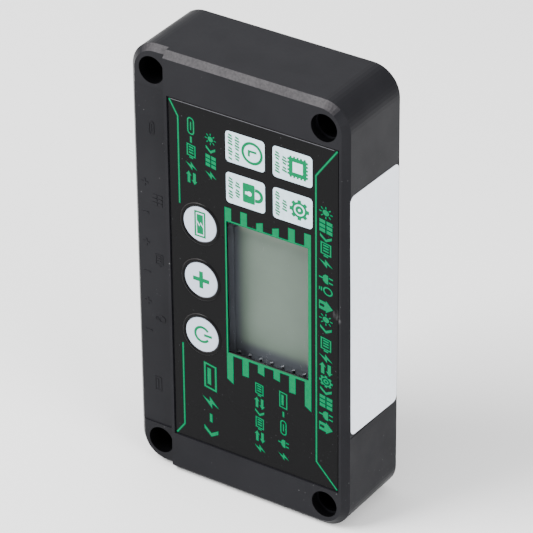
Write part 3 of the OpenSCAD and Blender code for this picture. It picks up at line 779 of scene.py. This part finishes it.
def padlock(name, centre):
    """Padlock lying on its side, with a keyhole in its body and an open bow."""
    cx, cz = centre
    bow_x, steps = cx + 3.6, 16
    body = rounded(cx - 0.85, cz - 2.95, cx + 2.95, cz + 2.95, 0.4)
    keyhole = [(cx + 1.25 + 0.75 * math.cos(a), cz + 0.75 * math.sin(a))
               for a in (math.radians(-140 + 280 * k / 24) for k in range(25))]
    keyhole += [(cx - 0.15, cz + 0.45), (cx - 0.15, cz - 0.45)]
    half_turn = [math.pi * i / steps for i in range(steps + 1)]
    bow_outer = [(cx + 3.05, cz + 2.1)] + [
        (bow_x + 2.05 * math.sin(a), cz + 2.1 * math.cos(a)) for a in half_turn] + [
        (cx + 3.05, cz - 2.1)]
    bow_inner = [(cx + 3.05, cz - 1.1)] + [
        (bow_x + 1.1 * math.sin(a), cz - 1.1 * math.cos(a)) for a in half_turn] + [
        (cx + 3.05, cz + 1.1)]
    tile_print(name, [body, keyhole, bow_outer + bow_inner])


def button_marks():
    """Marks on the three caps: battery, plus and the standard power sign. They ride on the caps."""
    marks = {}
    for name in ("menu", "plus", "power"):
        low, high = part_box("button_" + name)
        marks[name] = ((low.x + high.x) / 2 / MM, ((low.z + high.z) / 2 - MID_Z) / MM)
    cap_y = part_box("button_menu")[0].y
    x, z = marks["menu"]
    case = [rectangle(x - 1.8, z - 4.0, x + 1.8, z + 4.0),
            rectangle(x - 1.3, z - 3.5, x + 1.3, z + 3.5)]
    upper = [(x - 1.0, z + 3.0), (x + 1.0, z + 3.0), (x + 1.0, z - 0.45), (x + 0.2, z + 0.8),
             (x - 0.05, z - 0.15), (x - 1.0, z + 0.95)]
    lower = [(x + x - u, z + z - v) for u, v in upper]
    cap_print("mark_menu", case + [upper, lower], cap_y, "menu_cap")
    cap_print("mark_plus", [cross(*marks["plus"], 2.65, 0.62)], cap_y, "plus_cap")
    x, z = marks["power"]
    arc = [(x + 2.3 * math.cos(a), z + 2.3 * math.sin(a))
           for a in (math.radians(35 + 290 * i / 40) for i in range(41))]
    cap_print("mark_power", stroke(arc, 0.75) + [rectangle(x + 0.6, z - 0.38, x + 3.2, z + 0.38)],
              cap_y, "power_cap")


def cap_print(name, outlines, cap_y, body):
    """Green print on a button cap, which moves with the cap."""
    flat_piece(name, outlines, cap_y - PRINT_T, PRINT_T, INK_GREEN, body)


def pictogram_texts():
    """Generic pictograms where such a panel has its name and its features printed."""
    energy = [sun, solar_panel, chevron, battery, bolt, space, plug, bulb, space, house, sun,
              chevron, space, battery, bolt, swap, gear, chevron, solar_panel, plug, house]
    row_of_pictograms("print_energy_row", energy, 26.0, 30.4, 35.6, -36.0, grow=0.86)
    row_of_pictograms("print_small_port_row", [small_port, dash, battery, bolt, swap],
                      -16.35, -12.6, 49.5, 29.2)
    row_of_pictograms("print_source_row", [sun, chevron, solar_panel, bolt], -10.0, -6.4,
                      46.5, 32.4)
    row_of_pictograms("print_large_port_row", [large_port, bolt, dash, chevron], -12.4, -6.9,
                      -26.8, -50.8)
    row_of_pictograms("print_two_ports_row", [large_port, dash, small_port, plug, bolt],
                      12.65, 16.1, -27.5, -49.8)
    row_of_pictograms("print_swap_row", [battery, swap, chevron, battery, swap, bolt],
                      4.8, 8.35, -27.5, -50.0)


def display_film():
    """Polarising film on the display glass, and the dark mask that fills the gap round it."""
    low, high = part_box("lcd_glass")
    inset, clear_of_clips = 0.4 * MM, 2.7 * MM
    film_low = Vector((low.x + inset, low.y, low.z + clear_of_clips))
    film_high = Vector((high.x - inset, high.y, high.z - inset))
    outline = rounded(film_low.x / MM, (film_low.z - MID_Z) / MM, film_high.x / MM,
                      (film_high.z - MID_Z) / MM, 0.3)
    material = polariser_film(film_low, film_high)
    thickness = 0.15 * MM
    flat_piece("display_film", [outline], low.y - thickness, thickness, material)
    left, right, bottom, top = low.x / MM, high.x / MM, (low.z - MID_Z) / MM, (high.z - MID_Z) / MM
    lap = 0.15
    mask = [rectangle(left - 4.3, bottom - 0.65, right + 0.7, top + 1.1),
            rectangle(left + lap, bottom + lap, right - lap, top - lap)]
    flat_piece("display_mask", mask, low.y - 2.6 * thickness, thickness, DISPLAY_SURROUND)


def clip_tips():
    """Bright folded tips of the spring clips along the lower edge of the display glass."""
    low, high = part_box("lcd_pins")
    count, half, clip_half = 8, 0.5, 0.35    # clips, half a tip's width, half a clip's width
    first = low.x / MM + clip_half
    step = ((high.x - low.x) / MM - 2 * clip_half) / (count - 1)
    top = (high.z - MID_Z) / MM
    tips = [[(x - half, top - 0.60), (x + half, top - 0.15), (x + half, top + 0.1),
             (x - half, top - 0.35)] for x in (first + i * step for i in range(count))]
    flat_piece("clip_tips", tips, low.y - 0.09 * MM, 0.08 * MM, CLIP_TIN)


def side_label():
    """Blank label on the right-hand side, a little proud and stuck on slightly askew."""
    low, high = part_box("side_label")
    thickness = 0.14 * MM
    corner = 1.9
    u0, u1 = low.y / MM, high.y / MM
    v0, v1 = (low.z - MID_Z) / MM, (high.z - MID_Z) / MM
    front_low, back_low, front_top, back_top = (0.15, 0.85), (0.0, -0.15), (-0.4, -0.1), (0.0, -0.9)
    outline = []
    for u, v in rounded(u0, v0, u1, v1, corner, 8):
        across, up = (u - u0) / (u1 - u0), (v - v0) / (v1 - v0)
        shift = [(1 - up) * ((1 - across) * front_low[k] + across * back_low[k])
                 + up * ((1 - across) * front_top[k] + across * back_top[k]) for k in (0, 1)]
        outline.append((u + shift[0], v + shift[1]))
    label = flat_piece("blank_label", [outline], high.x + 0.06 * MM, thickness,
                       MATERIALS["label_paper"], face="side",
                       round_edge=0.03 * MM)
    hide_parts("side_label")


def ledge_marks():
    """Faint raised marks on the strip beside the terminals: poles and what they connect to."""
    x, poles, height = -29.0, 6, 0.12 * MM
    sign_x, arm, half = x - 2.2, 1.1, 0.25
    picture_size, port_size = 3.4, 3
    outlines = []
    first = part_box("terminal_screw_1")
    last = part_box("terminal_screw_6")
    top = ((first[0].z + first[1].z) / 2 - MID_Z) / MM
    bottom = ((last[0].z + last[1].z) / 2 - MID_Z) / MM
    for i in range(poles):
        z = top + (bottom - top) * i / (poles - 1)
        outlines.append(rectangle(sign_x - arm, z - half, sign_x + arm, z + half) if i % 2 else
                        cross(sign_x, z, arm, half))
    pictures = [(kind, x + 0.2, top + (bottom - top) * (2 * pair + 0.5) / (poles - 1),
                 picture_size) for pair, kind in enumerate((solar_panel, battery, bulb))]
    pictures += [(small_port, x - 1.0, 41.2, port_size), (large_port, x - 1.0, -40.7, port_size)]
    for kind, left, z, size in pictures:
        shapes, width = kind()
        outlines += [[(left + v * size, z + (width / 2 - u) * size) for u, v in shape]
                     for shape in shapes]
    flat_piece("ledge_marks", outlines, LEDGE_Y + 0.3 * MM - height, height,
               MATERIALS["charcoal_plastic"])


panel_lines()
window_print()
tiles()
button_marks()
pictogram_texts()
display_film()
clip_tips()
side_label()
ledge_marks()

soften(frame["nodes"]["front_shell"], 0.18 * MM)
soften(frame["nodes"]["graphic_overlay"], 0.05 * MM)
for button in ("button_menu", "button_plus", "button_power"):
    soften(frame["nodes"][button], 0.12 * MM)
soften(frame["nodes"]["rear_plate"], 0.15 * MM)


# ---------------------------------------------------------------- floor, light and camera

def studio():
    """Pale floor and soft light from above, from the front left and from the right."""
    bpy.ops.mesh.primitive_plane_add(size=6, location=(0, 0, 0))
    floor = bpy.context.object
    floor.name = "floor"
    mat, tree, shader = new_material("floor", (0.92, 0.92, 0.92, 1), 0.9, specular=0.1)
    cloud = noise(tree, object_coordinates(tree), 3, 2.0)
    tree.links.new(mix_colour(tree, cloud, (0.90, 0.90, 0.90, 1), (0.94, 0.94, 0.94, 1)),
                   shader.inputs["Base Color"])
    floor.data.materials.append(mat)
    world = bpy.data.worlds.new("studio")
    bpy.context.scene.world = world
    world.use_nodes = True
    background = world.node_tree.nodes["Background"]
    background.inputs["Color"].default_value = (1, 1, 1, 1)
    background.inputs["Strength"].default_value = 1.2
    lights = {
        "key": ((-0.60, -0.66, 0.95), 0.7, 34.0),
        "right": ((1.1, -0.35, 0.55), 0.7, 16.5),
    }
    for name, (place, size, power) in lights.items():
        data = bpy.data.lights.new(name, "AREA")
        data.size = size
        data.energy = power
        lamp = bpy.data.objects.new(name, data)
        lamp.location = place
        lamp.rotation_euler = (Vector((0, 0, MID_Z)) - Vector(place)).to_track_quat(
            "-Z", "Y").to_euler()
        bpy.context.scene.collection.objects.link(lamp)


def camera():
    """Long lens from the front right, above, looking down at the standing object."""
    yaw, pitch, roll = (math.radians(a) for a in (-33.874, 31.600, -0.593))
    distance = 1.0319
    forward = Vector((math.sin(yaw) * math.cos(pitch), math.cos(yaw) * math.cos(pitch),
                      -math.sin(pitch)))
    level = Vector((math.cos(yaw), -math.sin(yaw), 0))
    upright = level.cross(forward)
    right = math.cos(roll) * level + math.sin(roll) * upright
    up = -math.sin(roll) * level + math.cos(roll) * upright
    place = Vector((0, 0, MID_Z)) - forward * distance
    data = bpy.data.cameras.new("camera")
    data.lens = 255.9
    data.sensor_width = 36
    data.shift_x = 0.0035
    data.shift_y = 0.0073
    data.clip_start = 0.01
    data.clip_end = 20
    cam = bpy.data.objects.new("camera", data)
    axes = Matrix((right, up, -forward)).transposed()
    cam.matrix_world = Matrix.Translation(place) @ axes.to_4x4()
    bpy.context.scene.collection.objects.link(cam)
    bpy.context.scene.camera = cam


studio()
camera()
